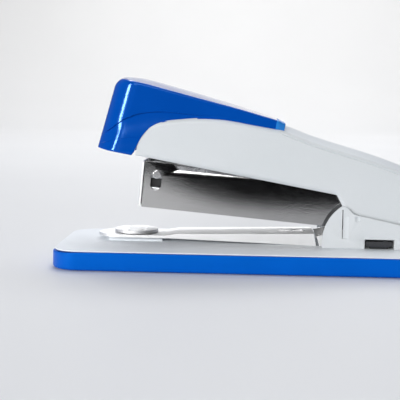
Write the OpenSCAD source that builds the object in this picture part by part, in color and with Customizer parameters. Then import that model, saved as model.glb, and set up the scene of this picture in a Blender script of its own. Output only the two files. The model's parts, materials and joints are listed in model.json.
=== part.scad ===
// Desktop stapler with a half-strip magazine.
// +Z up, nose towards -X, origin at the middle of the rest face. All sizes in mm.

/* [Base] */
// overall length of the base
base_l = 145.2; // [130:0.1:160]
// overall width of the base
base_w = 50; // [40:1:60]
// corner radius of the base in plan
base_r = 9; // [6:0.5:12]
// height of the blue bumper's top edge
rim_top = 6.05; // [5:0.05:8]
// width of the bumper's wall, under the deck's border
rim_wall = 4.2; // [3:0.1:6]
// height of the seat that the housing and the channel stand on
deck_top = 6.2; // [5:0.1:8]
// height of the deck around that seat
deck_crest = 7.15; // [6.5:0.05:8]
// how far the feet stand out below the tray
foot_out = 0.1; // [0.1:0.1:1]

/* [Anvil channel] */
// width of the steel channel
channel_w = 16; // [14:0.5:18]
// sheet thickness of the channel and of the hinge yoke
channel_t = 1; // [0.8:0.1:1.5]
// top of the flat nose of the channel
nose_top = 9.4; // [8:0.1:11]
// top of the channel at its rear end
rear_top = 11.1; // [10:0.1:12]
// radius of the anvil plate
anvil_r = 7.3; // [6:0.1:8]
// distance from the rest centre to the anvil's pivot, towards the nose
anvil_x = 47.3; // [44:0.1:50]

/* [Pivots] */
// magazine pivot, behind the middle of the base
pivot_x = 38; // [34:0.5:42]
// height of the magazine pivot
pivot_z = 16; // [14:0.5:18]
// radius of the magazine pivot pin
pivot_r = 2; // [1.5:0.1:2.5]
// handle pivot, behind the middle of the base
handle_x = 58; // [54:0.5:60]
// height of the handle pivot
handle_z = 17; // [15:0.5:19]
// radius of the handle pivot pin
handle_r = 1.8; // [1.5:0.1:2.5]
// slope of the magazine at rest, in degrees
magazine_tilt = 4.94; // [3:0.01:7]
// slope of the handle at rest, in degrees
handle_tilt = 10.15; // [8:0.01:12]

/* [Magazine] */
// outer width of the magazine
magazine_w = 15.6; // [15:0.1:16.5]
// sheet thickness of the magazine
sheet = 0.8; // [0.6:0.1:1]
// distance from the pivot to the magazine's nose
magazine_l = 82.9; // [80:0.1:90]
// depth of the magazine's floor below the pivot
magazine_drop = 4.25; // [3.5:0.05:5]
// outer width of a staple
staple_w = 12.9; // [12.7:0.1:13.2]
// leg length of a staple, crown included
staple_h = 6; // [6:0.5:8]
// length of the staples left in the strip
strip_l = 28; // [10:1:50]

/* [Handle] */
// width of the cover over its sides
cover_w = 23; // [22:0.5:26]
// width of the nose cap over its sides
cap_w = 24; // [23:0.5:27]
// wall thickness of the cover
cover_wall = 1.2; // [1:0.1:2]
// corner radius of the nose cap in plan
cap_r = 8.5; // [6:0.5:10]
// width over the walls of the hinge housing
housing_w = 25; // [24.5:0.1:30]

/* [Hidden] */
$fn = 64;
running = 0.05;
tray_z = foot_out;
floor_top = 2;
deck_under = deck_top - 1.8;
fastener_x = 40;
foot_x = 56;
side_y = 15;
button_r = 6;
stem_r = 1.5;
yoke_in = magazine_w / 2 + 0.25;
yoke_out = yoke_in + 0.9;
yoke_z = 7.1;
frame_in = 9.2;
frame_out = 10;
cover_in = cover_w / 2 - cover_wall;
housing_in = cover_w / 2 + 0.2;
blade_x = -82.93;
blade_t = 0.6;
plate_z = 13.6;
floor_in = sheet - magazine_drop;
staple_top = floor_in + 0.1 + staple_h;
rail_top = staple_top - 0.55;
rail_w = 11.2;
rod_z = -0.6;
rod_r = 0.9;
strip_x = 1.15 - magazine_l;
pusher_x = strip_x + strip_l + 0.2;
pivot_gap = [handle_x - pivot_x, handle_z - pivot_z];
slot_x = -78.8;
rivet_z = 6.88;
steel = [0.72, 0.73, 0.75];
dark_steel = [0.45, 0.46, 0.48];
light = [0.86, 0.88, 0.9];
blue = [0.02, 0.34, 0.75];

// a point given in the row frame, seen in a frame that is tilted about the magazine pivot
function seen(p, tilt) = [p[0] * cos(tilt) - p[1] * sin(tilt), p[0] * sin(tilt) + p[1] * cos(tilt)];
function ellipse_arc(c, a, b, from, to, n) =
    [for (i = [0:n]) [c[0] + a * cos(from + (to - from) * i / n), c[1] + b * sin(from + (to - from) * i / n)]];
magazine_pin = seen(pivot_gap, magazine_tilt);
handle_pin_at = seen(pivot_gap, handle_tilt);

// extrudes an X-Z profile from y0 to y1
module across(y0, y1) {
    translate([0, y1, 0])
        rotate([90, 0, 0])
            linear_extrude(y1 - y0)
                children();
}

module both_sides(y0, y1) {
    across(y0, y1) children();
    across(-y1, -y0) children();
}

// extrudes a Y-Z profile along X from x0 to x1
module along(x0, x1) {
    translate([x0, 0, 0])
        rotate([90, 0, 90])
            linear_extrude(x1 - x0)
                children();
}

module in_magazine() {
    translate([pivot_x, 0, pivot_z])
        rotate([0, magazine_tilt, 0])
            children();
}

module in_handle() {
    translate([pivot_x, 0, pivot_z])
        rotate([0, handle_tilt, 0])
            children();
}

module block(x0, x1, half, z0, z1) {
    translate([x0, -half, z0])
        cube([x1 - x0, 2 * half, z1 - z0]);
}

module post(x, y, z0, z1, r) {
    translate([x, y, z0])
        cylinder(h = z1 - z0, r = r);
}

module cross_pin(x, z, r, half) {
    translate([x, half, z])
        rotate([90, 0, 0])
            cylinder(h = 2 * half, r = r);
}

module rounded_plan(l, w, r) {
    translate([-l / 2 + r, -w / 2]) square([l - 2 * r, w]);
    translate([-l / 2, -w / 2 + r]) square([l, w - 2 * r]);
    for (x = [-1, 1])
        for (y = [-1, 1])
            translate([x * (l / 2 - r), y * (w / 2 - r)]) circle(r);
}

// section of the tray with its rounded lower edge
module tray_section(half) {
    edge = 0.9;
    translate([edge - half, tray_z]) square([2 * (half - edge), rim_top - tray_z]);
    translate([-half, tray_z + edge]) square([2 * half, rim_top - tray_z - edge]);
    for (s = [-1, 1])
        translate([s * (half - edge), tray_z + edge]) circle(edge);
}

module coil(r, wire, length, turns) {
    half = 180 * wire * turns / length;
    outer = [for (i = [0:4]) (r + wire / 2) * [cos(half * (i / 2 - 1)), sin(half * (i / 2 - 1))]];
    inner = [for (i = [0:4]) (r - wire / 2) * [cos(half * (1 - i / 2)), sin(half * (1 - i / 2))]];
    linear_extrude(height = length, twist = -360 * turns, slices = turns * 16, $fn = 8)
        polygon(concat(outer, inner));
}

module rivet(x, y, z0, z1, r, head, t) {
    post(x, y, z0, z1, r);
    post(x, y, z0 - t, z0, head);
    post(x, y, z1, z1 + t, head);
}

// ---- base ----

module bumper_tray() {
    lx = base_l / 2 - base_r;
    ly = base_w / 2 - base_r;
    color(blue) difference() {
        union() {
            along(-lx, lx) tray_section(base_w / 2);
            across(-ly, ly) tray_section(base_l / 2);
            for (x = [-lx, lx])
                for (y = [-ly, ly])
                    translate([x, y, 0])
                        rotate_extrude()
                            intersection() {
                                tray_section(base_r);
                                square([base_r, rim_top]);
                            }
        }
        translate([0, 0, floor_top])
            linear_extrude(10)
                rounded_plan(base_l - 2 * rim_wall, base_w - 2 * rim_wall, base_r - rim_wall);
        for (x = [-foot_x, foot_x])
            for (y = [-side_y, side_y])
                post(x, y, -1, 1.3, 4.6);
        for (x = [-fastener_x, fastener_x])
            for (y = [-side_y, side_y]) {
                post(x, y, -1, 1.1, 3);
                post(x, y, -1, 3, 1.45);
            }
        post(-anvil_x, 0, -1, 3, button_r + 0.6);
    }
}

// section of the deck: a thin border over the bumper, then a slope up to the flat crest
module deck_section(half) {
    polygon([[0.6 - half, rim_top + 0.05], [half - 0.6, rim_top + 0.05], [half - 0.6, rim_top + 0.4],
        [half - 5, deck_crest], [5 - half, deck_crest], [0.6 - half, rim_top + 0.4]]);
}

module deck() {
    lx = base_l / 2 - base_r;
    ly = base_w / 2 - base_r;
    color(light) difference() {
        union() {
            translate([0, 0, deck_under])
                linear_extrude(rim_top + 0.1 - deck_under)
                    rounded_plan(base_l - 2 * rim_wall - 0.3, base_w - 2 * rim_wall - 0.3, base_r - rim_wall - 0.15);
            along(-lx, lx) deck_section(base_w / 2);
            across(-ly, ly) deck_section(base_l / 2);
            for (x = [-lx, lx])
                for (y = [-ly, ly])
                    translate([x, y, 0])
                        rotate_extrude()
                            intersection() {
                                deck_section(base_r);
                                square([base_r, 2 * deck_crest]);
                            }
            for (x = [-fastener_x, fastener_x])
                for (y = [-side_y, side_y])
                    post(x, y, floor_top, deck_top - 0.5, 3.5);
            post(-anvil_x, 0, 3.4, deck_top, 5);
            block(-56, -38, 6, deck_top - 1, nose_top - channel_t - 0.05);
        }
        block(4, 14.3, channel_w / 2 + 0.2, deck_top, 20);
        block(14.3, 66.2, housing_w / 2 + 0.1, deck_top, 20);
        for (x = [-fastener_x, fastener_x])
            for (y = [-side_y, side_y])
                post(x, y, 0, deck_top - 1, 1.4);
        post(-anvil_x, 0, 0, 20, stem_r + running);
        post(-anvil_x, 0, 0, deck_top, 3);
        for (x = [2.5, 7.5])
            post(x, 0, 0, 20, 1.2);
        for (x = [22, 43])
            post(x, 0, 0, 20, 1.6);
    }
    color(light) difference() {
        block(0, 10, 6, deck_top - 1, 9.6);
        for (x = [2.5, 7.5])
            post(x, 0, 0, 20, 1.2);
    }
}

module rubber_feet() {
    color([0.12, 0.12, 0.13])
        for (x = [-foot_x, foot_x])
            for (y = [-side_y, side_y]) {
                post(x, y, 0, 1.2, 4);
                post(x, y, 0.5, 1.2, 4.5);
            }
}

module deck_screws() {
    color(steel)
        for (x = [-fastener_x, fastener_x])
            for (y = [-side_y, side_y])
                difference() {
                    union() {
                        post(x, y, 0.5, 1.05, 2.7);
                        post(x, y, 1, 5, 1.35);
                    }
                    translate([x - 1.8, y - 0.3, 0.4]) cube([3.6, 0.6, 0.4]);
                    translate([x - 0.3, y - 1.8, 0.4]) cube([0.6, 3.6, 0.4]);
                }
}

module anvil_channel() {
    side = [[-60, nose_top], [-37, nose_top], [-33, nose_top + 0.65], [12.3, rear_top], [13.1, 6.9],
        [-18.7, 7.9], [-35, nose_top - channel_t], [-60, nose_top - channel_t]];
    inner = [[-61, nose_top - channel_t], [-37, nose_top - channel_t], [-33, nose_top + 0.65 - channel_t],
        [14, rear_top + 0.05 - channel_t], [14, 5], [-61, 5]];
    color(steel) difference() {
        intersection() {
            across(-channel_w / 2, channel_w / 2) polygon(side);
            union() {
                block(-52, 20, channel_w, 0, 30);
                post(-52, 0, 0, 30, channel_w / 2);
            }
        }
        across(channel_t - channel_w / 2, channel_w / 2 - channel_t) polygon(inner);
        post(-anvil_x, 0, 0, 20, stem_r + running);
        for (x = [2.5, 7.5]) {
            post(x, 0, 0, 20, 1.2);
            post(x, 0, 10.35, 20, 2.3);
        }
    }
}

module channel_rivets() {
    color(dark_steel)
        for (x = [2.5, 7.5]) {
            post(x, 0, 5.2, 10.6, 1.15);
            post(x, 0, 10.4, 10.8, 2.2);
            post(x, 0, 3.7, deck_under, 2.2);
            post(x, 0, 3.7, 6, 1.15);
        }
}

module hinge_yoke() {
    color(steel) difference() {
        union() {
            both_sides(yoke_in, yoke_out) {
                polygon([[14, yoke_z], [13, 10.4], [22, 12.2], [34.6, 19], [41.4, 19], [47, 10.5], [47, yoke_z]]);
                translate([pivot_x, pivot_z]) circle(4.5);
            }
            block(14.4, 47, yoke_out, yoke_z, yoke_z + channel_t);
        }
        cross_pin(pivot_x, pivot_z, pivot_r, 20);
        for (x = [22, 43])
            post(x, 0, 0, 20, 1.6);
    }
}

module yoke_rivets() {
    color(dark_steel) {
        rivet(22, 0, deck_under, yoke_z + channel_t, 1.55, 2.8, 0.6);
        rivet(43, 0, deck_under, yoke_z + channel_t + 0.6, 1.55, 2.8, 0.6);
    }
}

module housing_side() {
    polygon(concat([[66, deck_top + 0.05], [14.5, deck_top + 0.05]],
        ellipse_arc([27.5, 9], 13, 13.8, 180, 121, 10),
        [[22.4, 20.4], [24.4, 18.4], [26, 17.9], [39.6, 15], [60, 10.8], [66, 9.4]]));
}

module hinge_housing() {
    color(light) difference() {
        union() {
            both_sides(housing_in, housing_w / 2) housing_side();
            block(14.5, 50, housing_w / 2, deck_top + 0.05, yoke_z - 0.05);
        }
        across(-20, 20) polygon([[28.3, 7.1], [37.8, 7.1], [37.8, 10.2], [28.3, 10.2]]);
        both_sides(housing_w / 2 - 0.4, 20) {
            polygon([[20.9, 10.3], [22.9, 10.3], [22.9, 17.6], [20.9, 17.6]]);
            translate([25.8, 16.7]) circle(0.85);
        }
        across(-20, 20) translate([20.9, 10.3]) square([0.3, 9.4]);
        for (x = [22, 43])
            post(x, 0, 0, 20, 1.6);
    }
}

module side_clips() {
    color(dark_steel)
        both_sides(9.2, housing_in - 0.1) {
            translate([28.6, yoke_z + 0.5]) square([8.9, 2]);
            translate([30, yoke_z]) square([6, 0.6]);
        }
}

module pivot_pin() {
    color(steel) cross_pin(pivot_x, pivot_z, pivot_r, yoke_out + 0.1);
}

module magazine_spring() {
    z = yoke_z + channel_t + 0.05;
    color(dark_steel) difference() {
        across(-4.5, 4.5)
            polygon([[46, z], [38, z], [20, 12.3], [17, 11.9], [17, 12.4], [20, 12.8], [38.2, z + 0.5], [46, z + 0.5]]);
        post(43, 0, 0, 20, 1.6);
    }
}

module anvil_plate() {
    top = nose_top + 1.2;
    color(steel) difference() {
        post(-anvil_x, 0, nose_top + 0.25, top, anvil_r);
        post(-anvil_x, 0, 0, top - 0.25, stem_r);
        for (x = [-anvil_x - 3, -anvil_x + 3])
            for (y = [-1, 1])
                translate([x, y * 3.4, top + 1.5])
                    rotate([90, 0, 0])
                        cylinder(h = 4.6, r = 1.8, center = true);
    }
}

module anvil_stem() {
    color(dark_steel) {
        post(-anvil_x, 0, 2, nose_top + 0.9, stem_r);
        post(-anvil_x, 0, 0.8, 2.4, button_r);
    }
}

module anvil_spring() {
    color(dark_steel)
        translate([-anvil_x, 0, 2.5]) coil(2.25, 0.4, 3.2, 3);
}

// ---- magazine ----

module magazine_side() {
    polygon([[-magazine_l, -magazine_drop], [12, -magazine_drop], [magazine_pin[0], magazine_pin[1] - 5],
        [magazine_pin[0], magazine_pin[1] + 5], [8, 9.05], [-71.9, 9.05], [-73.6, 11], [-magazine_l, 11]]);
    translate(magazine_pin) circle(5);
}

module magazine() {
    color(steel) in_magazine() difference() {
        across(-magazine_w / 2, magazine_w / 2) magazine_side();
        block(-100, 40, magazine_w / 2 - sheet, floor_in, 30);
        block(12, 40, magazine_w / 2 - sheet, -20, 30);
        block(-100, strip_x - 0.1, magazine_w / 2 - sheet, -20, 0);
        across(-20, 20) {
            translate([slot_x - 1.75, 3.53]) square([3.5, 3.09]);
            translate([slot_x, 3.53]) circle(1.75);
            translate([slot_x, 6.62]) circle(1.75);
        }
        cross_pin(0, 0, pivot_r + running, 20);
        cross_pin(magazine_pin[0], magazine_pin[1], handle_r + running, 20);
    }
}

module magazine_front() {
    color(steel) in_magazine() difference() {
        union() {
            block(-magazine_l - 0.85, -magazine_l - 0.05, magazine_w / 2, -3.6, 10.9);
            cross_pin(-magazine_l - 0.45, -3.6, 0.4, magazine_w / 2);
        }
        block(-100, -magazine_l - 0.65, 3, 4, 8);
    }
}

module nose_guide() {
    color(steel) in_magazine() difference() {
        block(-81.3, -45, magazine_w / 2 - sheet - 0.05, 5.6, 10.4);
        block(-82, -44, magazine_w / 2 - 2 * sheet, 3, 9.6);
        cross_pin(slot_x, rivet_z, stem_r, 20);
    }
}

module guide_block() {
    color([0.08, 0.08, 0.09]) in_magazine() difference() {
        block(-81.2, -76, magazine_w / 2 - 2 * sheet - 0.1, staple_top + 0.1, 9.5);
        cross_pin(slot_x, rivet_z, stem_r, 20);
    }
}

module guide_rivet() {
    color(steel) in_magazine() cross_pin(slot_x, rivet_z, stem_r, magazine_w / 2 - 0.2);
}

module staple_rail() {
    color(steel) in_magazine() difference() {
        block(-81.5, -6, rail_w / 2, floor_in + 0.05, rail_top);
        block(-80.7, 0, rail_w / 2 - 0.6, floor_in - 1, rail_top - 0.6);
        block(-76, -14, 2.2, 0, 10);
        translate([-90, 0, rod_z]) rotate([0, 90, 0]) cylinder(h = 30, r = rod_r);
    }
}

module staple_strip() {
    color([0.8, 0.81, 0.83]) in_magazine() difference() {
        block(strip_x, strip_x + strip_l, staple_w / 2, floor_in + 0.1, staple_top);
        block(strip_x - 1, strip_x + strip_l + 1, staple_w / 2 - 0.6, -10, staple_top - 0.5);
    }
}

module guide_rod() {
    color(steel) in_magazine()
        translate([-81.4, 0, rod_z]) rotate([0, 90, 0]) cylinder(h = 73, r = rod_r);
}

module rod_stop() {
    color(dark_steel) in_magazine() difference() {
        block(-10, -7.6, rail_w / 2 - 0.7, floor_in + 0.1, rail_top - 0.7);
        translate([-20, 0, rod_z]) rotate([0, 90, 0]) cylinder(h = 30, r = rod_r);
    }
}

module pusher() {
    color(dark_steel) in_magazine() difference() {
        union() {
            difference() {
                block(pusher_x, pusher_x + 8, 6.7, floor_in + 0.3, staple_top + 0.75);
                block(pusher_x - 1, pusher_x + 9, rail_w / 2 + 0.25, -10, rail_top + 0.3);
            }
            block(pusher_x + 1.5, pusher_x + 6.5, 1.9, -2.6, rail_top + 0.5);
        }
        translate([-90, 0, rod_z]) rotate([0, 90, 0]) cylinder(h = 80, r = rod_r + running);
    }
}

module pusher_spring() {
    start = pusher_x + 6.6;
    color(dark_steel) in_magazine()
        translate([start, 0, rod_z]) rotate([0, 90, 0]) coil(1.55, 0.45, -10.1 - start, 13);
}

// ---- handle ----

module handle_frame() {
    pin = handle_pin_at;
    color(steel) in_handle() difference() {
        union() {
            both_sides(frame_in, frame_out) {
                polygon([[-84.5, 5.7], [-21, 5.7], [-16.8, 0.3], [pin[0], 0], [pin[0], pin[1] + 5],
                    [12, 10.5], [-2, plate_z + 1], [-84.5, plate_z + 1]]);
                translate(pin) circle(5);
            }
            block(-84.5, -2, frame_out, plate_z, plate_z + 1);
        }
        cross_pin(pin[0], pin[1], handle_r, 20);
        for (x = [-77, -27])
            for (y = [-3.2, 3.2])
                post(x, y, 0, 20, 1.1);
        for (x = [-66, -14])
            post(x, 0, 0, 20, 1.5);
    }
}

module driver_blade() {
    color(steel) in_handle() difference() {
        union() {
            block(blade_x, blade_x + blade_t, 6.4, -2.1, plate_z - 0.1);
            block(blade_x, -73.5, 6.4, plate_z - 0.7, plate_z - 0.1);
        }
        for (y = [-3.2, 3.2])
            post(-77, y, 0, 20, 1.1);
    }
}

module frame_rivets() {
    color(dark_steel) in_handle()
        for (x = [-77, -27])
            for (y = [-3.2, 3.2])
                rivet(x, y, plate_z - 0.75, plate_z + 1.05, 1.05, 1.9, 0.35);
}

module handle_spring() {
    z = plate_z - 0.1;
    color(dark_steel) in_handle() difference() {
        across(-5, 5)
            polygon([[-23, z], [-34, z], [-74, 4.9], [-79, 4.4], [-79, 3.9], [-73.8, 4.4], [-34, z - 0.6], [-23, z - 0.6]]);
        for (y = [-3.2, 3.2])
            post(-27, y, 0, 20, 1.1);
    }
}

module handle_pin() {
    color(steel) in_handle() cross_pin(handle_pin_at[0], handle_pin_at[1], handle_r, frame_out + 0.15);
}

module pivot_bushes() {
    pin = handle_pin_at;
    color([0.9, 0.9, 0.88]) in_handle() difference() {
        both_sides(magazine_w / 2 + 0.15, frame_in - 0.05) translate(pin) circle(3.4);
        cross_pin(pin[0], pin[1], handle_r + 0.02, 20);
    }
}

// boundary between the nose cap and the cover, seen from the side
function cap_edge() = concat([[-41.4, 30], [-41.4, 22.1], [-61, 21.75]],
    ellipse_arc([-60, 7.5], 27.2, 14.2, 95, 170, 14), [[-87.7, 4.7], [-87.7, -5], [-130, -5], [-130, 60], [-41.4, 60]]);

module cover_profile(t) {
    pin = handle_pin_at;
    rear = ellipse_arc(pin, 10.2 - t, 10.2 - t, 96, -33, 16);
    polygon(concat([[-95, 25 - t], [-60, 25 - t], [-41.4, 23.4 - t], [-25, 21.1 - t], [-12, 19.6 - t],
        [-3, 18.2 - t], [8, 16.2 - t]], rear, [[rear[16][0], -1.1], [-15.6, -1.1], [-20.2, 4.94], [-95, 4.94]]));
}

module top_cover() {
    color(light) in_handle() difference() {
        union() {
            difference() {
                intersection() {
                    across(-cover_w / 2, cover_w / 2) cover_profile(0);
                    translate([-3, 0, 18.3 - 41]) rotate([0, 7.8, 0]) translate([-100, 0, 0])
                        rotate([0, 90, 0]) cylinder(h = 160, r = 41, $fn = 128);
                }
                across(-cover_in, cover_in) cover_profile(cover_wall + 1.2);
                block(-120, -15, cover_in, -10, 6);
                block(-20, 60, cover_in, -10, 1);
                block(16, 27, cover_in, -10, 4);
            }
            difference() {
                post(-14, 0, plate_z + 1.1, 18.5, 3);
                post(-14, 0, 0, 17.6, 1.4);
            }
        }
        across(-30, 30) polygon(cap_edge());
    }
}

module cap_body(half, t) {
    intersection() {
        across(-half, half)
            polygon([[-100.4 + t, 4.7], [-98.5 + t, 25.2], [-97.6 + t, 27.4 - t], [-95.7 + t, 29 - t], [-93 + t, 29.8 - t],
                [-84, 29.5 - t], [-77, 29 - t], [-63.5, 27.6 - t], [-49.5, 26 - t], [-40.9, 24.9 - t], [-40.9, 4.7]]);
        translate([-91, 0, 30.1 - t - 36.5]) rotate([0, 5.3, 0]) translate([-30, 0, 0])
            rotate([0, 90, 0]) cylinder(h = 120, r = 36.5, $fn = 128);
        translate([-100.4 + t, 0, 4.7]) rotate([0, 5.3, 0]) translate([0, 0, -20]) linear_extrude(60) {
            translate([cap_r, -half]) square([80, 2 * half]);
            translate([0, cap_r - half]) square([80, 2 * (half - cap_r)]);
            for (s = [-1, 1])
                translate([cap_r, s * (half - cap_r)]) circle(cap_r);
        }
    }
}

module nose_cap() {
    color(blue) in_handle() difference() {
        union() {
            difference() {
                cap_body(cap_w / 2, 0);
                cap_body(cap_w / 2 - 1.7, 1.7);
                block(-97, -60, 8, 0, 8);
            }
            post(-66, 0, plate_z + 1.1, 26.5, 3);
        }
        post(-66, 0, 0, 22, 1.4);
        difference() {
            across(-30, 30) polygon([[-130, -10], [-30, -10], [-30, 60], [-130, 60]]);
            across(-31, 31) translate([-0.15, 0]) polygon(cap_edge());
            block(-130, -40.9, 30, 22.45, 60);
        }
    }
}

module shell_screws() {
    color(steel) in_handle()
        for (x = [-66, -14]) {
            post(x, 0, plate_z - 1.1, plate_z - 0.05, 2.6);
            post(x, 0, plate_z - 0.1, plate_z + 3.1, 1.35);
        }
}

bumper_tray();
deck();
rubber_feet();
deck_screws();
anvil_channel();
channel_rivets();
hinge_yoke();
yoke_rivets();
hinge_housing();
side_clips();
pivot_pin();
magazine_spring();
anvil_plate();
anvil_stem();
anvil_spring();
magazine();
magazine_front();
nose_guide();
guide_block();
guide_rivet();
staple_rail();
staple_strip();
guide_rod();
rod_stop();
pusher();
pusher_spring();
handle_frame();
driver_blade();
frame_rivets();
handle_spring();
handle_pin();
pivot_bushes();
top_cover();
nose_cap();
shell_screws();
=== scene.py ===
import bpy
import bmesh
import json
import math
from mathutils import Matrix, Vector


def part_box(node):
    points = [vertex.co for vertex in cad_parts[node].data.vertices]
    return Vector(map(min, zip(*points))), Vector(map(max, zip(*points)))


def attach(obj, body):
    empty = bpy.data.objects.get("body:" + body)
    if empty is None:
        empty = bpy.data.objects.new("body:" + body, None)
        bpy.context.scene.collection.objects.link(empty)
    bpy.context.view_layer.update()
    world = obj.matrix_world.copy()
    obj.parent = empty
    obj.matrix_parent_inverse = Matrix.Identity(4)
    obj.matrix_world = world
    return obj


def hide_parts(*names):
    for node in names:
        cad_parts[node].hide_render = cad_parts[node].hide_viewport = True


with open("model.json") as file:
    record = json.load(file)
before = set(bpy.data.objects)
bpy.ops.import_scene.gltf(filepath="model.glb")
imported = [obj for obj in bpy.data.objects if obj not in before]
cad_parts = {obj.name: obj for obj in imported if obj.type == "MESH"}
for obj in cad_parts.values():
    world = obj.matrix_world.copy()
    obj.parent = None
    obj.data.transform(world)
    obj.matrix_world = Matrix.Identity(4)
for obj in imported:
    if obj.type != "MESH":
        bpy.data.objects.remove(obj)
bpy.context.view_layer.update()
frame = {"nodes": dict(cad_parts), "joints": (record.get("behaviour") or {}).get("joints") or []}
mm = 0.001
print("frame loaded")

# the two tilted frames that the magazine and the handle are drawn in
pivotAt = Vector(next(j["pos_m"] for j in frame["joints"] if j["name"] == "magazine_hinge"))
handleAt = Vector(next(j["pos_m"] for j in frame["joints"] if j["name"] == "handle_hinge"))
tilt = {"magazine": 4.94, "handle": 10.15}
magazineFrame = Matrix.Translation(pivotAt) @ Matrix.Rotation(math.radians(tilt["magazine"]), 4, "Y")
handleFrame = Matrix.Translation(pivotAt) @ Matrix.Rotation(math.radians(tilt["handle"]), 4, "Y")


def curveAt(points, x):
    if x <= points[0][0]:
        return points[0][1]
    for (x0, z0), (x1, z1) in zip(points, points[1:]):
        if x <= x1:
            return z0 + (z1 - z0) * (x - x0) / (x1 - x0)
    return points[-1][1]


def smoothAt(points, x):
    x = min(max(x, points[0][0]), points[-1][0])
    for i in range(len(points) - 1):
        (x0, z0), (x1, z1) = points[i], points[i + 1]
        if x <= x1:
            before, after = points[max(i - 1, 0)], points[min(i + 2, len(points) - 1)]
            slope0 = (z1 - before[1]) / (x1 - before[0])
            slope1 = (after[1] - z0) / (after[0] - x0)
            gap = x1 - x0
            t = (x - x0) / gap
            return (z0 * (1 + 2 * t) * (1 - t) ** 2 + slope0 * gap * t * (1 - t) ** 2
                    + z1 * t * t * (3 - 2 * t) - slope1 * gap * t * t * (1 - t))
    return points[-1][1]


def ease(a, b, x):
    t = min(max((x - a) / (b - a), 0.0), 1.0)
    return t * t * (3 - 2 * t)


# even steps from a towards b; the first leaves b out, the second leaves a out
def spread(a, b, steps):
    return [a + (b - a) * i / steps for i in range(steps)]


def onward(a, b, steps):
    return [a + (b - a) * i / steps for i in range(1, steps + 1)]


# columns along a list of stops, each stop given with the steps up to the next
def alongStops(stops):
    places = []
    for (a, steps), (b, _) in zip(stops, stops[1:]):
        places += spread(a, b, steps)
    return places


# angles of an arc in radians, both ends included
def arcAngles(start, end, steps):
    return [math.radians(start + (end - start) * i / steps) for i in range(steps + 1)]


def newMaterial(name):
    mat = bpy.data.materials.new(name)
    mat.use_nodes = True
    tree = mat.node_tree
    shader = tree.nodes["Principled BSDF"]
    coords = tree.nodes.new("ShaderNodeTexCoord")
    return mat, tree, shader, coords


def noiseFrom(tree, coords, scale, detail=2.0, rough=0.5, stretch=None):
    noise = tree.nodes.new("ShaderNodeTexNoise")
    noise.inputs["Scale"].default_value = scale
    noise.inputs["Detail"].default_value = detail
    noise.inputs["Roughness"].default_value = rough
    place = coords.outputs["Object"]
    if stretch:
        mapping = tree.nodes.new("ShaderNodeMapping")
        mapping.inputs["Scale"].default_value = stretch
        tree.links.new(place, mapping.inputs["Vector"])
        place = mapping.outputs["Vector"]
    tree.links.new(place, noise.inputs["Vector"])
    return noise.outputs["Fac"]


def rampOf(tree, fac, low, high, lowAt=0.3, highAt=0.7):
    ramp = tree.nodes.new("ShaderNodeValToRGB")
    ends = ramp.color_ramp.elements
    ends[0].position, ends[1].position = lowAt, highAt
    ends[0].color, ends[1].color = (*low, 1), (*high, 1)
    tree.links.new(fac, ramp.inputs["Fac"])
    return ramp.outputs["Color"]


def rangeOf(tree, value, low, high, fromLow=0.3, fromHigh=0.7):
    node = tree.nodes.new("ShaderNodeMapRange")
    node.inputs["From Min"].default_value = fromLow
    node.inputs["From Max"].default_value = fromHigh
    node.inputs["To Min"].default_value = low
    node.inputs["To Max"].default_value = high
    tree.links.new(value, node.inputs["Value"])
    return node.outputs["Result"]


def mixOf(tree, fac, a, b):
    mix = tree.nodes.new("ShaderNodeMix")
    mix.data_type = "RGBA"
    tree.links.new(fac, mix.inputs["Factor"])
    for socket, colour in (("A", a), ("B", b)):
        if isinstance(colour, tuple):
            mix.inputs[socket].default_value = (*colour, 1)
        else:
            tree.links.new(colour, mix.inputs[socket])
    return mix.outputs["Result"]


def addBump(tree, shader, heights, strength):
    normal = None
    for fac, part in heights:
        bump = tree.nodes.new("ShaderNodeBump")
        bump.inputs["Strength"].default_value = strength * part
        bump.inputs["Distance"].default_value = 0.1 * mm
        tree.links.new(fac, bump.inputs["Height"])
        if normal is not None:
            tree.links.new(normal, bump.inputs["Normal"])
        normal = bump.outputs["Normal"]
    tree.links.new(normal, shader.inputs["Normal"])


# convex edges, found by pointiness, blend towards a second tone: paler on most plastics, a little darker on the
# deck
edgeMix = {"from": 0.53, "to": 0.62, "amount": 0.2}


def edgeBlend(tree, colour, edgeTarget):
    geometry = tree.nodes.new("ShaderNodeNewGeometry")
    edge = rangeOf(tree, geometry.outputs["Pointiness"], 0, edgeMix["amount"], edgeMix["from"], edgeMix["to"])
    return mixOf(tree, edge, colour, edgeTarget)


plasticNoise = {"cloud": 38, "gloss": 160, "swell": 55}
steelNoise = {"cloud": 90, "gloss": 260, "brush": 900}


def makePlastic(name, low, high, edgeColour, rough, grainSize, grain, tint=(1, 1, 1), coat=0.0):
    mat, tree, shader, coords = newMaterial(name)
    cloudy = rampOf(tree, noiseFrom(tree, coords, plasticNoise["cloud"], 3), low, high)
    tree.links.new(edgeBlend(tree, cloudy, edgeColour), shader.inputs["Base Color"])
    gloss = noiseFrom(tree, coords, plasticNoise["gloss"], 4)
    tree.links.new(rangeOf(tree, gloss, *rough), shader.inputs["Roughness"])
    shader.inputs["Specular Tint"].default_value = (*tint, 1)
    shader.inputs["Coat Weight"].default_value = coat
    fine, swell = noiseFrom(tree, coords, grainSize, 2), noiseFrom(tree, coords, plasticNoise["swell"], 1)
    addBump(tree, shader, [(fine, 1.0), (swell, 0.5)], grain)
    return mat


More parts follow.
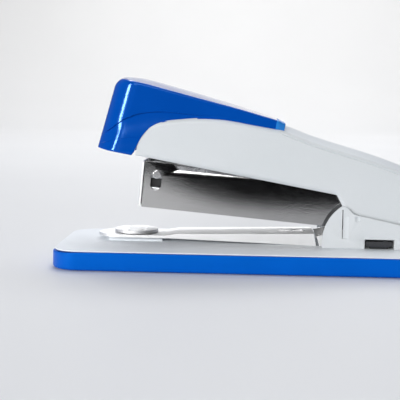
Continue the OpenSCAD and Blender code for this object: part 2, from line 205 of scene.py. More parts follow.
def makeSteel(name, low, high, rough, peelSize, peel, brushed=None):
    mat, tree, shader, coords = newMaterial(name)
    shader.inputs["Metallic"].default_value = 1.0
    cloudy = noiseFrom(tree, coords, steelNoise["cloud"], 4, 0.6)
    tree.links.new(rampOf(tree, cloudy, low, high), shader.inputs["Base Color"])
    gloss = noiseFrom(tree, coords, steelNoise["gloss"], 5, 0.65)
    tree.links.new(rangeOf(tree, gloss, *rough), shader.inputs["Roughness"])
    bumps = [(noiseFrom(tree, coords, peelSize, 3, 0.55), 1.0)]
    if brushed:
        bumps.append((noiseFrom(tree, coords, steelNoise["brush"], 2, 0.5, brushed), 0.5))
    addBump(tree, shader, bumps, peel)
    return mat


# each colour runs softly between a low and a high tone
blueTones = {"low": (0.0005, 0.068, 0.400), "high": (0.0008, 0.074, 0.425), "edgeColour": (0.004, 0.12, 0.60)}
bluePlastic = makePlastic("blue_plastic", **blueTones, rough=(0.11, 0.15), grainSize=700, grain=0.05,
                          tint=(0.22, 0.48, 1.0))
blueTop = makePlastic("blue_top", **blueTones, rough=(0.15, 0.2), grainSize=700, grain=0.06, coat=1.0)
# the tail's end takes a paler blue that stands in for the highlight on its chamfer: a painted highlight
blueTipPaintedHighlight = makePlastic("blue_tip_painted_highlight", (0.02, 0.24, 0.76), (0.03, 0.27, 0.80), (0.15, 0.45, 0.95),
                      rough=(0.2, 0.28), grainSize=700, grain=0.12)
blueRim = makePlastic("blue_rim_plastic", (0.0006, 0.100, 0.53), (0.0009, 0.108, 0.57), (0.01, 0.17, 0.66),
                      rough=(0.34, 0.44), grainSize=1200, grain=0.3, tint=(0.03, 0.42, 1.0))
lightPlastic = makePlastic("light_plastic", (0.68, 0.715, 0.735), (0.70, 0.73, 0.75), (0.78, 0.80, 0.82),
                           rough=(0.42, 0.52), grainSize=1500, grain=0.35)
# the deck is the same light plastic, drawn paler to stand in for more light falling on it: painted light
deckPlasticPaintedLight = makePlastic("deck_plastic_painted_light", (0.80, 0.835, 0.87), (0.82, 0.855, 0.89), (0.78, 0.80, 0.82),
                          rough=(0.40, 0.50), grainSize=1500, grain=0.35)
bearingPlastic = makePlastic("bearing_plastic", (0.72, 0.70, 0.62), (0.78, 0.76, 0.68), (0.8, 0.8, 0.72),
                             rough=(0.35, 0.5), grainSize=1200, grain=0.3)
blackPlastic = makePlastic("black_plastic", (0.006, 0.006, 0.007), (0.012, 0.012, 0.013), (0.03, 0.03, 0.03),
                           rough=(0.4, 0.55), grainSize=1200, grain=0.4)
rubberBlack = makePlastic("rubber_black", (0.018, 0.018, 0.02), (0.03, 0.03, 0.032), (0.06, 0.06, 0.06),
                          rough=(0.7, 0.85), grainSize=900, grain=0.8)
platedSteel = makeSteel("plated_steel", (0.39, 0.387, 0.385), (0.43, 0.427, 0.425),
                        rough=(0.075, 0.10), peelSize=3000, peel=0.08)
channelSteel = makeSteel("channel_steel", (0.90, 0.90, 0.90), (0.94, 0.94, 0.94),
                         rough=(0.46, 0.56), peelSize=2400, peel=0.10)
wireSteel = makeSteel("staple_wire", (0.52, 0.53, 0.55), (0.62, 0.63, 0.65),
                      rough=(0.2, 0.32), peelSize=2600, peel=0.1)
springSteel = makeSteel("spring_steel", (0.30, 0.30, 0.31), (0.42, 0.42, 0.43),
                        rough=(0.25, 0.4), peelSize=2400, peel=0.15, brushed=(1, 14, 14))
# dark steel for the side clips, drawn darker still so that the housing window reads black: painted shade
clipSteelPaintedShade = makeSteel("clip_steel_painted_shade", (0.07, 0.07, 0.075), (0.10, 0.10, 0.105),
                      rough=(0.10, 0.16), peelSize=2200, peel=0.08)
hardSteel = makeSteel("hard_steel", (0.20, 0.20, 0.21), (0.28, 0.28, 0.29),
                      rough=(0.22, 0.34), peelSize=2200, peel=0.15, brushed=(1, 12, 1))
brightSteel = makeSteel("bright_steel", (0.66, 0.66, 0.67), (0.76, 0.76, 0.77),
                        rough=(0.14, 0.24), peelSize=2300, peel=0.08)
print("materials made")


def finishPiece(name, bm, body, mats, sharpAngle, recalc=True):
    if recalc:
        bmesh.ops.recalc_face_normals(bm, faces=bm.faces)
    for face in bm.faces:
        face.smooth = True
    for edge in bm.edges:
        edge.smooth = len(edge.link_faces) != 2 or edge.calc_face_angle(0) < math.radians(sharpAngle)
    mesh = bpy.data.meshes.new(name)
    bm.to_mesh(mesh)
    bm.free()
    piece = bpy.data.objects.new(name, mesh)
    bpy.context.scene.collection.objects.link(piece)
    for mat in mats:
        mesh.materials.append(mat)
    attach(piece, body)
    return piece


def addBevel(piece, width, segments):
    bevel = piece.modifiers.new("edges", "BEVEL")
    bevel.width = width * mm
    bevel.segments = segments
    bevel.limit_method = "ANGLE"
    bevel.angle_limit = math.radians(32)
    bevel.harden_normals = True
    bevel.miter_outer = "MITER_ARC"


def addWall(piece, thickness):
    wall = piece.modifiers.new("wall", "SOLIDIFY")
    wall.thickness = thickness * mm
    wall.offset = -1


def roundedCopy(node, body, mat, width, segments, slot):
    bm = bmesh.new()
    bm.from_mesh(frame["nodes"][node].data)
    bmesh.ops.remove_doubles(bm, verts=bm.verts, dist=0.004 * mm)
    bmesh.ops.dissolve_limit(bm, angle_limit=math.radians(0.6), verts=bm.verts, edges=bm.edges)
    piece = finishPiece(node + "_finished", bm, body, [mat], 32, recalc=False)
    addBevel(piece, width, segments)
    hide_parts(node)


# a sheet of columns and rows, each point of it set by place(column, row)
def gridFrom(columns, rows, place):
    bm = bmesh.new()
    made = bmesh.ops.create_grid(bm, x_segments=columns, y_segments=rows, size=1)
    for v in made["verts"]:
        c = round((v.co.x + 1) / 2 * columns)
        r = round((v.co.y + 1) / 2 * rows)
        v.co = place(c, r)
    return bm


def mirrorAcross(bm, merge):
    bmesh.ops.mirror(bm, geom=bm.verts[:] + bm.edges[:] + bm.faces[:], matrix=Matrix.Identity(4),
                     merge_dist=0.02 * mm, axis="Y")
    bmesh.ops.remove_doubles(bm, verts=bm.verts, dist=merge)


# blue tray that the deck lies in; its rim is a little lower at the front
tray = {"wall": 4.2, "cornerR": 9.0, "top": 6.0, "frontTop": 5.6, "frontRamp": (12, 2), "bottom": 0.1,
        "lowerR": 0.9, "upperR": 0.4, "innerR": 0.5, "floor": 2.0}
traySteps = {"corner": 12, "side": 40, "end": 14, "lower": 8, "upper": 6, "inner": 4}


def trayOutline():
    lo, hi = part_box("bumper_tray")
    halfX, halfY, r = (hi.x - lo.x) / 2 / mm, (hi.y - lo.y) / 2 / mm, tray["cornerR"]
    corners = ((halfX - r, halfY - r, 0), (r - halfX, halfY - r, 90),
               (r - halfX, r - halfY, 180), (halfX - r, r - halfY, 270))
    points = []
    for x, y, start in corners:
        points += [(x, y, math.cos(a), math.sin(a)) for a in arcAngles(start, start + 90, traySteps["corner"])]
    outline = []
    for p, q in zip(points, points[1:] + points[:1]):
        gap = math.hypot(p[0] - q[0], p[1] - q[1])
        steps = 1 if gap < 1 else traySteps["side"] if gap > 60 else traySteps["end"]
        outline += [tuple(p[k] + (q[k] - p[k]) * i / steps for k in range(4)) for i in range(steps)]
    return outline, halfX, r


def buildTray():
    outline, halfX, r = trayOutline()
    low, up, inner, wall, top = (tray[k] for k in ("lowerR", "upperR", "innerR", "wall", "top"))
    # inset from the outer face, height, and 1 where the height follows the lower front
    section = [(low - low * math.sin(a), tray["bottom"] + low - low * math.cos(a), 0)
               for a in arcAngles(0, 90, traySteps["lower"])]
    section += [(up - up * math.cos(a), top - up + up * math.sin(a), 1)
                for a in arcAngles(0, 90, traySteps["upper"])]
    section += [(wall - inner + inner * math.sin(a), top - inner + inner * math.cos(a), 1)
                for a in arcAngles(0, 90, traySteps["inner"])]
    section.append((wall, tray["floor"], 0))
    rampStart, rampEnd = tray["frontRamp"]

    def place(c, row):
        cx, cy, nx, ny = outline[c % len(outline)]
        inset, z, follows = section[row]
        front = ease(rampStart - halfX, rampEnd - halfX, cx + nx * r)
        z -= (top - tray["frontTop"]) * front * follows
        return Vector((cx + nx * (r - inset), cy + ny * (r - inset), z)) * mm

    bm = gridFrom(len(outline), len(section) - 1, place)
    bmesh.ops.remove_doubles(bm, verts=bm.verts, dist=0.01 * mm)
    for z in (tray["bottom"], tray["floor"]):
        loop = [e for e in bm.edges if e.is_boundary and all(abs(v.co.z / mm - z) < 0.1 for v in e.verts)]
        bmesh.ops.edgeloop_fill(bm, edges=loop)
    piece = finishPiece("bumper_tray_finished", bm, "base", [blueRim], 32)
    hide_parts("bumper_tray")


buildTray()
print("tray built")

# nose cap; x and z are in the handle's own frame, in mm
cap = {"frontX": -100.4, "bottomZ": 4.7, "half": 12.0, "cornerR": 8.5, "lean": 0.094, "leanEnd": -80,
       "tailX": -40.95, "tipX": -43.9, "tailDrop": 0.5, "tailTaper": 1.1, "tailEase": 0.4,
       "sideR": 0.8, "noseR": 4.2, "noseRise": 0.9, "topInset": 0.3, "topDepth": 0.1, "wall": 1.5}
capEdge = [(-87.8, 4.7), (-87.4, 6.9), (-86.8, 9.6), (-85.9, 11.9), (-84.4, 14.2), (-82.2, 16.0),
           (-78.5, 17.7), (-73.5, 19.2), (-68.5, 20.5), (-64.2, 21.3), (-60.8, 21.7), (-56.4, 21.85),
           (-52, 21.85), (-40, 22.0)]
capTop = [(-93, 28.45), (-89.7, 28.35), (-83, 28.0), (-69.6, 27.05), (-56.3, 26.1), (-44.3, 24.95), (-40, 24.6)]
capCrown = [(-93, 1.3), (-84, 1.35), (-70, 1.15), (-56, 0.7), (-49, 0.45), (-41, 0.25)]

# two moulded creases; on the side over x, round the nose over the way walked from the side
crease = {"step": 0.6, "stepKept": 0.25, "stepRun": (0.5, 9), "sideFade": (-72, -61), "noseFade": (5.5, 12),
          "lowStep": 0.2, "lowRun": (1, 5), "lowEnd": -80, "sharp": 0.12}
creaseSide = [(-92.2, 16.9), (-90, 18.1), (-86.7, 19.25), (-82.5, 20.2), (-78.2, 20.85), (-73.8, 21.2),
              (-70.3, 21.5), (-66, 21.9), (-61, 22.3), (-40, 22.3)]
creaseNose = [(0, 16.9), (2, 15.6), (4, 13.6), (6, 11.7), (8.9, 9.8), (11.5, 8.8), (17, 8.2)]
lowCreaseSide = [(-92.2, 9.7), (-90.3, 10.3), (-86.5, 11.2), (-80, 12.5)]
lowCreaseNose = [(0, 9.7), (4, 8.2), (9, 6.6), (17, 5.5)]
capRows = {"low": 7, "middle": 12, "high": 16, "round": 7, "crown": 12}
capStops = [(cap["tailX"], 12), (cap["tipX"], 34), (-61, 46), (-84, 24), (-87.6, 8),
            (cap["frontX"] + cap["cornerR"], 0)]
capSteps = {"corner": 30, "nose": 6}


def capBottom(x):
    return cap["bottomZ"] if x < capEdge[0][0] else smoothAt(capEdge, x)


# columns of the cap's wall, from the tail along the side, round the corner and across the nose
def capStations():
    stations = [("side", x) for x in alongStops(capStops)]
    stations += [("arc", a) for a in spread(0, 90, capSteps["corner"])]
    return stations + [("flat", y) for y in spread(cap["half"] - cap["cornerR"], 0, capSteps["nose"]) + [0]]


# the wall's rows follow both creases, so that each crease is one clean line of edges
def wallHeights(low, lowCrease, mainCrease, high):
    mainCrease = min(max(mainCrease, low + 0.6), high - 0.3)
    lowCrease = min(max(lowCrease, low + 0.2), mainCrease - 0.3)
    gap = crease["sharp"]
    heights = spread(low, lowCrease - gap, capRows["low"]) + [lowCrease - gap]
    heights += spread(lowCrease, mainCrease - gap, capRows["middle"]) + [mainCrease - gap]
    return heights + spread(mainCrease, high, capRows["high"]) + [high], lowCrease, mainCrease


def buildCap():
    r, half, front = cap["cornerR"], cap["half"], cap["frontX"]
    sideEnd = front + r
    stations = capStations()
    wallRows = capRows["low"] + capRows["middle"] + capRows["high"] + 2
    crownStart = wallRows + capRows["round"]
    poleZ = smoothAt(capTop, sideEnd) + smoothAt(capCrown, sideEnd)
    poleX = sideEnd + cap["lean"] * (smoothAt(capTop, sideEnd) - cap["bottomZ"])

    def planPoint(kind, s):
        if kind == "side":
            return s, -half, 0.0, -1.0, None
        if kind == "arc":
            a = math.radians(s)
            return sideEnd - r * math.sin(a), -(half - r) - r * math.cos(a), -math.sin(a), -math.cos(a), r * a
        return front, -s, -1.0, 0.0, r * math.pi / 2 + (half - r) - s

    def creasesAt(px, along):
        if along is None:
            return smoothAt(lowCreaseSide, px), smoothAt(creaseSide, px), 1 - ease(*crease["sideFade"], px)
        return smoothAt(lowCreaseNose, along), smoothAt(creaseNose, along), 1 - ease(*crease["noseFade"], along)

    def wallPoint(row, px, along, low, high):
        lowLine, mainLine, fade = creasesAt(px, along)
        heights, lowLine, mainLine = wallHeights(low, lowLine, mainLine, high)
        z, inset = heights[row], 0.0
        if mainLine - z > 0.01:
            share = 1 - (1 - crease["stepKept"]) * ease(*crease["stepRun"], mainLine - z)
            inset += crease["step"] * fade * share
        if z < lowLine - 0.01 and px < crease["lowEnd"]:
            inset += crease["lowStep"] * fade * (1 - ease(*crease["lowRun"], lowLine - z))
        return z, inset

    def place(c, row):
        px, py, nx, ny, along = planPoint(*stations[c])
        nose = 0.0 if along is None else ease(0, r * math.pi / 2, along)
        tail = ease(cap["tipX"], cap["tailX"] + cap["tailEase"], px)
        drop = cap["tailDrop"] * tail
        low = capBottom(px)
        top = smoothAt(capTop, max(px, sideEnd)) + cap["noseRise"] * nose - drop
        edgeR = min(cap["sideR"] + (cap["noseR"] - cap["sideR"]) * nose, (top - low) * 0.5)
        if row <= wallRows:
            z, inset = wallPoint(row, px, along, low, top - edgeR)
        else:
            a = math.pi / 2 * min(1, (row - wallRows) / capRows["round"])
            z, inset = top - edgeR + edgeR * math.sin(a), edgeR * (1 - math.cos(a))
        lean = cap["lean"] * (1 - ease(sideEnd, cap["leanEnd"], px))
        shift = lean * (z - cap["bottomZ"])
        inset += cap["tailTaper"] * tail
        x, y = px + shift - nx * inset, py - ny * inset
        if row > crownStart:
            t = (row - crownStart) / capRows["crown"]
            spineX, spineZ = poleX, poleZ
            if along is None:
                spineX, spineZ = px + shift, smoothAt(capTop, px) + smoothAt(capCrown, px) - drop
            x, y = x + (spineX - x) * t, y * (1 - t)
            z = z + (spineZ - z) * math.sin(math.pi / 2 * t)
        return handleFrame @ (Vector((x, y, z)) * mm)

    bm = gridFrom(len(stations) - 1, crownStart + capRows["crown"], place)
    inverse = handleFrame.inverted()
    for face in bm.faces:
        centre = (inverse @ face.calc_center_median()) / mm
        # faces past the tip line take the paler blue, a painted highlight on the tail's end
        if centre.x > cap["tipX"]:
            face.material_index = 2
        elif (abs(centre.y) < half - cap["sideR"] - cap["topInset"]
              and centre.z > smoothAt(capTop, centre.x) - cap["topDepth"]):
            face.material_index = 1
    mirrorAcross(bm, 0.02 * mm)
    tailRim = [e for e in bm.edges if e.is_boundary
               and all((inverse @ v.co).x / mm > cap["tailX"] - 0.05 for v in e.verts)]
    bmesh.ops.holes_fill(bm, edges=tailRim, sides=0)
    piece = finishPiece("nose_cap_finished", bm, "handle", [bluePlastic, blueTop, blueTipPaintedHighlight], 34)
    addWall(piece, cap["wall"])
    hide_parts("nose_cap")


buildCap()
print("cap built")

# light shell behind the cap, in the handle's own frame; its tail turns round the handle's pin
cover = {"half": 11.5, "wall": 1.2, "edgeR": 1.0, "groove": 0.22, "grooveRow": 0.15, "sink": 0.45,
         "frontZ": 4.94, "capGap": 0.3, "closedX": -41.4, "bendX": -20.2,
         "rearZ": -1.1, "rearFoot": (-14.9, 15.1), "rearTop": (-14.4, 15), "tailFoot": 26.7,
         "endR": 9.0, "endArc": (96, -37)}
coverTop = [(-41.6, 22.15), (-39.7, 21.8), (-32.2, 20.4), (-25.4, 19.5), (-18.8, 18.85), (-12.1, 18.1),
            (-7.1, 17.4), (-3.3, 16.75), (3, 15.6), (9, 14.4), (15, 13.25)]
coverCrown = [(-41.4, 1.5), (-3, 1.5), (10, 1.4), (20, 1.2), (30, 1.1)]
coverStops = [(-86.8, 14), (-84, 30), (-61, 12), (cover["closedX"], 0)]
coverBend = [(-20.2, 4.94, -20.2), (-18.35, 2.61, -18.35), (-15.7, -0.9, -15.7), (-14.9, -1.1, -14.4)]
coverRows = {"wall": 8, "groove": 3, "round": 6, "crown": 10}


# columns of the shell: bottom x, bottom z, top x, top z, 1 where the top closes over
def coverStations():
    underCap = alongStops(coverStops)
    stations = [(x, cover["frontZ"], x, capBottom(x) + cover["capGap"], 0) for x in underCap]
    behindCap = spread(cover["closedX"], cover["bendX"], 16)
    lower = [(x, cover["frontZ"], x) for x in behindCap] + coverBend
    rear = zip(onward(*cover["rearFoot"], 20), onward(*cover["rearTop"], 20))
    lower += [(foot, cover["rearZ"], top) for foot, top in rear]
    stations += [(foot, z, top, curveAt(coverTop, top), 1) for foot, z, top in lower]
    pin = handleFrame.inverted() @ handleAt
    tailFeet = onward(cover["rearFoot"][1], cover["tailFoot"], 24)
    for foot, a in zip(tailFeet, arcAngles(*cover["endArc"], 24)[1:]):
        topX = pin.x / mm + cover["endR"] * math.cos(a)
        topZ = pin.z / mm + cover["endR"] * math.sin(a)
        stations.append((foot, cover["rearZ"], topX, topZ, 1))
    return stations


def buildCover():
    stations = coverStations()
    half, edgeR = cover["half"], cover["edgeR"]
    grooveInset = (0, cover["groove"], cover["groove"], 0)
    grooveStart = coverRows["wall"]
    roundStart = grooveStart + coverRows["groove"]
    crownStart = roundStart + coverRows["round"]

    def place(c, row):
        footX, footZ, topX, topZ, closed = stations[c]
        before, after = stations[max(c - 1, 0)], stations[min(c + 1, len(stations) - 1)]
        along = Vector((after[2] - before[2], 0, after[3] - before[3])).normalized()
        up = Vector((-along.z, 0, along.x))      # away from the shell, square to its top line
        crest = Vector((topX, 0, topZ))
        low = crest - up * (edgeR + cover["sink"]) if closed else crest
        y = -half
        if row <= grooveStart:
            p = Vector((footX, 0, footZ)).lerp(low, row / grooveStart)
        elif not closed:
            p = crest
        elif row <= roundStart:
            k = row - grooveStart
            p = low + up * (cover["grooveRow"] * k)
            y += grooveInset[k]
        elif row <= crownStart:
            a = math.pi / 2 * (row - roundStart) / coverRows["round"]
            p = crest - up * edgeR + up * edgeR * math.sin(a)
            y += edgeR * (1 - math.cos(a))
        else:
            t = (row - crownStart) / coverRows["crown"]
            p = crest + up * curveAt(coverCrown, topX) * math.sin(math.pi / 2 * t)
            y = -(half - edgeR) * (1 - t)
        return handleFrame @ (Vector((p.x, y, p.z)) * mm)

    bm = gridFrom(len(stations) - 1, crownStart + coverRows["crown"], place)
    bmesh.ops.remove_doubles(bm, verts=bm.verts, dist=0.01 * mm)
    mirrorAcross(bm, 0.01 * mm)
    piece = finishPiece("top_cover_finished", bm, "handle", [lightPlastic], 30)
    addWall(piece, cover["wall"])
    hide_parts("top_cover")


buildCover()
print("cover built")

# sheet metal and mouldings that keep their CAD shape: body, finish, edge radius, segments, slot
rounded = {"deck": ("base", deckPlasticPaintedLight, 0.3, 2, "light_plastic"),
           "hinge_housing": ("base", lightPlastic, 0.35, 3, "light_plastic"),
           "anvil_channel": ("base", channelSteel, 0.2, 2, "plated_steel"),
           "hinge_yoke": ("base", channelSteel, 0.25, 2, "plated_steel"),
           "anvil_plate": ("anvil", channelSteel, 0.15, 2, "plated_steel"),
           "anvil_stem": ("anvil", hardSteel, 0.3, 2, "hard_steel"),
           "rubber_feet": ("base", rubberBlack, 0.3, 2, "rubber"),
           "deck_screws": ("base", brightSteel, 0.12, 2, "bright_steel"),
           "magazine": ("magazine", platedSteel, 0.1, 3, "plated_steel"),
           "nose_guide": ("magazine", wireSteel, 0.15, 2, "plated_steel"),
           "guide_block": ("magazine", blackPlastic, 0.2, 2, "black_plastic"),
           "side_clips": ("base", clipSteelPaintedShade, 0.9, 5, "hard_steel"),
           "guide_rivet": ("magazine", brightSteel, 0.35, 3, "bright_steel"),
           "staple_rail": ("magazine", platedSteel, 0.15, 2, "plated_steel"),
           "pusher": ("pusher", hardSteel, 0.25, 2, "hard_steel"),
           "handle_frame": ("handle", platedSteel, 0.25, 2, "plated_steel"),
           "driver_blade": ("handle", hardSteel, 0.12, 2, "hard_steel"),
           "handle_spring": ("handle", springSteel, 0.12, 2, "spring_steel"),
           "magazine_spring": ("base", springSteel, 0.12, 2, "spring_steel")}
for node, (body, mat, width, segments, slot) in rounded.items():
    roundedCopy(node, body, mat, width, segments, slot)

# small turned parts are shown as their CAD nodes
plain = {"channel_rivets": brightSteel, "yoke_rivets": brightSteel, "pivot_pin": brightSteel,
         "guide_rod": brightSteel, "rod_stop": hardSteel, "frame_rivets": brightSteel,
         "handle_pin": brightSteel, "pivot_bushes": bearingPlastic, "shell_screws": brightSteel}
for node, mat in plain.items():
    mesh = frame["nodes"][node].data
    mesh.materials.clear()
    mesh.materials.append(mat)

# front plate of the magazine, standing a little off the side sheets, with a rolled foot
plate = {"x0": -83.75, "x1": -83.17, "half": 7.78, "low": -3.9, "high": 10.85, "cornerR": 0.12,
         "rollR": 0.4, "rollRise": 0.3}


def buildFrontPlate():
    bm = bmesh.new()
    r, half, rollR = plate["cornerR"], plate["half"], plate["rollR"]
    outline = []
    for cx, cy, start in ((plate["x1"] - r, half - r, 0), (plate["x0"] + r, half - r, 90),
                          (plate["x0"] + r, r - half, 180), (plate["x1"] - r, r - half, 270)):
        outline += [(cx + r * math.cos(a), cy + r * math.sin(a)) for a in arcAngles(start, start + 90, 6)]
    ring = [bm.verts.new(magazineFrame @ (Vector((x, y, plate["low"])) * mm)) for x, y in outline]
    face = bm.faces.new(ring)
    grown = bmesh.ops.extrude_face_region(bm, geom=[face])["geom"]
    up = magazineFrame.to_3x3() @ Vector((0, 0, plate["high"] - plate["low"])) * mm
    bmesh.ops.translate(bm, vec=up, verts=[v for v in grown if isinstance(v, bmesh.types.BMVert)])
    roll = bmesh.ops.create_cone(bm, segments=24, radius1=rollR * mm, radius2=rollR * mm,
                                 depth=2 * half * mm, cap_ends=True)
    centre = Vector(((plate["x0"] + plate["x1"]) / 2, 0, plate["low"] + plate["rollRise"])) * mm
    turned = Matrix.Translation(centre) @ Matrix.Rotation(math.pi / 2, 4, "X")
    bmesh.ops.transform(bm, verts=roll["verts"], matrix=magazineFrame @ turned)
    # the pale channel steel makes the plate read white, standing in for the highlight on its rounded edge: a
    # painted highlight
    piece = finishPiece("magazine_front_finished", bm, "magazine", [channelSteel], 40)
    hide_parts("magazine_front")


# one wire staple after another along the rail, in the magazine's own frame
staple = {"wire": 0.5, "pitch": 0.52, "bendR": 0.45, "glueGap": 0.98}


# the corners of a CAD node's box in another frame, in mm
def boxIn(node, place):
    source = frame["nodes"][node]
    back = place.inverted()
    points = [back @ (source.matrix_world @ v.co) / mm for v in source.data.vertices]
    return (Vector([min(p[i] for p in points) for i in range(3)]),
            Vector([max(p[i] for p in points) for i in range(3)]))


def buildStaples():
    lo, hi = boxIn("staple_strip", magazineFrame)
    half = (hi.y - lo.y) / 2
    wire, bend = staple["wire"], staple["bendR"]
    path = [(-half, lo.z), (-half, hi.z - bend)]
    for a in arcAngles(180, 90, 4)[1:]:
        path.append((-half + bend + bend * math.cos(a), hi.z - bend + bend * math.sin(a)))
    path += [(-y, z) for y, z in reversed(path)]
    inside = [(math.copysign(abs(y) - wire if abs(y) > half - bend else abs(y), y), min(z, hi.z - wire))
              for y, z in path]
    bm = bmesh.new()
    for k in range(int((hi.x - lo.x) / staple["pitch"])):
        x = lo.x + staple["pitch"] * (k + 0.5)
        rows = []
        for side in (-0.5, 0.5):
            for line in (path, inside):
                places = [Vector((x + side * wire * staple["glueGap"], y, z)) * mm for y, z in line]
                rows.append([bm.verts.new(magazineFrame @ p) for p in places])
        ring = (rows[0], rows[2], rows[3], rows[1])
        for a, b in zip(ring, ring[1:] + ring[:1]):
            for i in range(len(path) - 1):
                bm.faces.new((a[i], a[i + 1], b[i + 1], b[i]))
        for i in (0, -1):
            bm.faces.new([row[i] for row in ring])
    piece = finishPiece("staple_strip_finished", bm, "magazine", [wireSteel], 40)
    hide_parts("staple_strip")


# round wire wound between the two ends of a CAD spring, along the X or Z direction of the given frame
def buildCoil(node, body, axis, turns, wire, place):
    low, high = boxIn(node, place)
    along, across = (0, 2) if axis == "X" else (2, 0)
    radius = (high[across] - low[across]) / 2 - wire / 2
    centre = (low + high) / 2
    centre[along] = low[along] + wire / 2
    travel = Vector((0, 0, 0))
    travel[along] = high[along] - low[along] - wire
    start = centre.copy()
    start[1 if axis == "X" else 0] += radius
    turned = Matrix.Identity(4) if axis == "X" else Matrix.Rotation(math.pi / 2, 4, "X")
    steps = int(turns * 20)
    bm = bmesh.new()
    made = bmesh.ops.create_circle(bm, segments=10, radius=wire / 2 * mm)
    bmesh.ops.transform(bm, matrix=Matrix.Translation(start * mm) @ turned, verts=made["verts"])
    bmesh.ops.spin(bm, geom=bm.verts[:] + bm.edges[:], cent=centre * mm, angle=turns * 2 * math.pi, steps=steps,
                   axis=(1, 0, 0) if axis == "X" else (0, 0, 1), dvec=travel * mm / steps, use_duplicate=False)
    bmesh.ops.transform(bm, matrix=place, verts=bm.verts)
    bmesh.ops.holes_fill(bm, edges=[e for e in bm.edges if e.is_boundary], sides=0)
    piece = finishPiece(node + "_finished", bm, body, [springSteel], 60)
    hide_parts(node)


buildFrontPlate()
buildStaples()
buildCoil("pusher_spring", "magazine", "X", 13, 0.45, magazineFrame)
buildCoil("anvil_spring", "anvil", "Z", 3, 0.4, Matrix.Identity(4))
print("metal parts finished")

# floor sweep in m; its front edge, in mm, runs askew, and the steel sides mirror the dark beyond it
studio = {"floorLow": (0.71, 0.715, 0.72), "floorHigh": (0.725, 0.73, 0.735), "wallLow": (0.80, 0.80, 0.80),
          "wallHigh": (0.82, 0.82, 0.82), "wallFrom": 0.15, "wallTo": 0.95, "cloud": 6, "rough": 0.55,
          "back": 0.98, "cove": 0.5, "wallTop": 1.2, "coveTurn": 0.96, "flatRows": 20, "coveRows": 24}
floorStops = [(-620, 10), (-120, 36), (60, 10), (560, 0)]
tableEdge = [(-110, -430), (-73, -330), (-51, -250), (-22, -182), (7, -162), (200, -158)]


def tableTop():
    mat, tree, shader, coords = newMaterial("table_top")
    cloudy = noiseFrom(tree, coords, studio["cloud"], 2)
    split = tree.nodes.new("ShaderNodeSeparateXYZ")
    tree.links.new(coords.outputs["Object"], split.inputs["Vector"])
    # the sweep runs from the floor tone to a paler wall tone towards the back: painted light, standing in for
    # the brighter-lit backdrop
    depth = rangeOf(tree, split.outputs["Y"], 0, 1, studio["wallFrom"], studio["wallTo"])
    floorTone = rampOf(tree, cloudy, studio["floorLow"], studio["floorHigh"])
    wallPaintedLightTone = rampOf(tree, cloudy, studio["wallLow"], studio["wallHigh"])
    tree.links.new(mixOf(tree, depth, floorTone, wallPaintedLightTone), shader.inputs["Base Color"])
    shader.inputs["Roughness"].default_value = studio["rough"]
    return mat


def buildFloor():
    across = alongStops(floorStops) + [floorStops[-1][0]]
    back, cove = studio["back"], studio["cove"]

    def place(c, row):
        x = across[c] * mm
        near = smoothAt(tableEdge, across[c]) * mm
        if row <= studio["flatRows"]:
            return Vector((x, near + (back - near) * row / studio["flatRows"], 0))
        t = (row - studio["flatRows"]) / studio["coveRows"]
        if t == 1:
            return Vector((x, back + cove, studio["wallTop"]))
        a = math.pi / 2 * min(1, t / studio["coveTurn"])
        return Vector((x, back + cove * math.sin(a), cove * (1 - math.cos(a))))

    bm = gridFrom(len(across) - 1, studio["flatRows"] + studio["coveRows"], place)
    for face in bm.faces:
        face.smooth = True
    mesh = bpy.data.meshes.new("floor")
    bm.to_mesh(mesh)
    bm.free()
    floor = bpy.data.objects.new("floor", mesh)
    bpy.context.scene.collection.objects.link(floor)
    mesh.materials.append(tableTop())


# soft lights: place, aim, size and power
lights = {"overhead": ((0.10, 0.40, 1.05), (0, 0, 0), (1.0, 1.0), 8.6),
          "leftStrip": ((-0.72, -0.64, 0.21), (-0.09, 0, 0.05), (0.15, 0.13), 4.6),
          "frontFill": ((-0.60, -2.40, 1.04), (0, 0, 0.02), (1.2, 1.2), 31),
          "backdrop": ((0.0, 0.95, 1.15), (0, 1.42, 0.15), (0.9, 0.9), 7.9)}


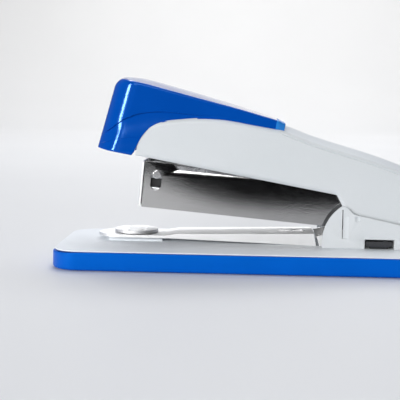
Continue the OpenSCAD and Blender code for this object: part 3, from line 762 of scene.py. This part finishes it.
def addLight(name, place, aim, size, power):
    light = bpy.data.lights.new(name, "AREA")
    light.shape = "RECTANGLE"
    light.size, light.size_y = size
    light.energy = power
    lamp = bpy.data.objects.new(name, light)
    lamp.location = place
    lamp.rotation_euler = (Vector(aim) - Vector(place)).to_track_quat("-Z", "Y").to_euler()
    lamp.visible_camera = False
    bpy.context.scene.collection.objects.link(lamp)


# dark room on the camera's side, bright behind and above the table
room = {"dark": (0.004, 0.004, 0.005), "bright": (0.13, 0.16, 0.24), "darkTo": 0.4, "brightFrom": 0.65}


def buildWorld():
    world = bpy.data.worlds.new("studio")
    bpy.context.scene.world = world
    world.use_nodes = True
    tree = world.node_tree
    back = tree.nodes["Background"]
    coords = tree.nodes.new("ShaderNodeTexCoord")
    split = tree.nodes.new("ShaderNodeSeparateXYZ")
    tree.links.new(coords.outputs["Generated"], split.inputs["Vector"])
    depth = rangeOf(tree, split.outputs["Y"], 0, 1, -1, 1)
    shade = rampOf(tree, depth, room["dark"], room["bright"], room["darkTo"], room["brightFrom"])
    tree.links.new(shade, back.inputs["Color"])
    back.inputs["Strength"].default_value = 1.0


view = {"place": (-0.010371, -0.317, 0.057303), "yaw": 2.8, "pitch": 6.6, "roll": 0.8,
        "lens": 85, "sensor": 36, "near": 0.01}


def buildCamera():
    yaw, pitch, roll = (math.radians(view[k]) for k in ("yaw", "pitch", "roll"))
    ahead = Vector((-math.sin(yaw) * math.cos(pitch), math.cos(yaw) * math.cos(pitch), -math.sin(pitch)))
    right = ahead.cross(Vector((0, 0, 1))).normalized()
    up = right.cross(ahead)
    turnedRight = right * math.cos(roll) + up * math.sin(roll)
    turnedUp = up * math.cos(roll) - right * math.sin(roll)
    data = bpy.data.cameras.new("camera")
    data.lens = view["lens"]
    data.sensor_width = view["sensor"]
    data.clip_start = view["near"]
    camera = bpy.data.objects.new("camera", data)
    bpy.context.scene.collection.objects.link(camera)
    turned = Matrix((turnedRight, turnedUp, -ahead)).transposed().to_4x4()
    camera.matrix_world = Matrix.Translation(Vector(view["place"])) @ turned
    bpy.context.scene.camera = camera


buildFloor()
for name, light in lights.items():
    addLight(name, *light)
buildWorld()
buildCamera()
bpy.context.scene.view_settings.view_transform = "Standard"
print("studio set")
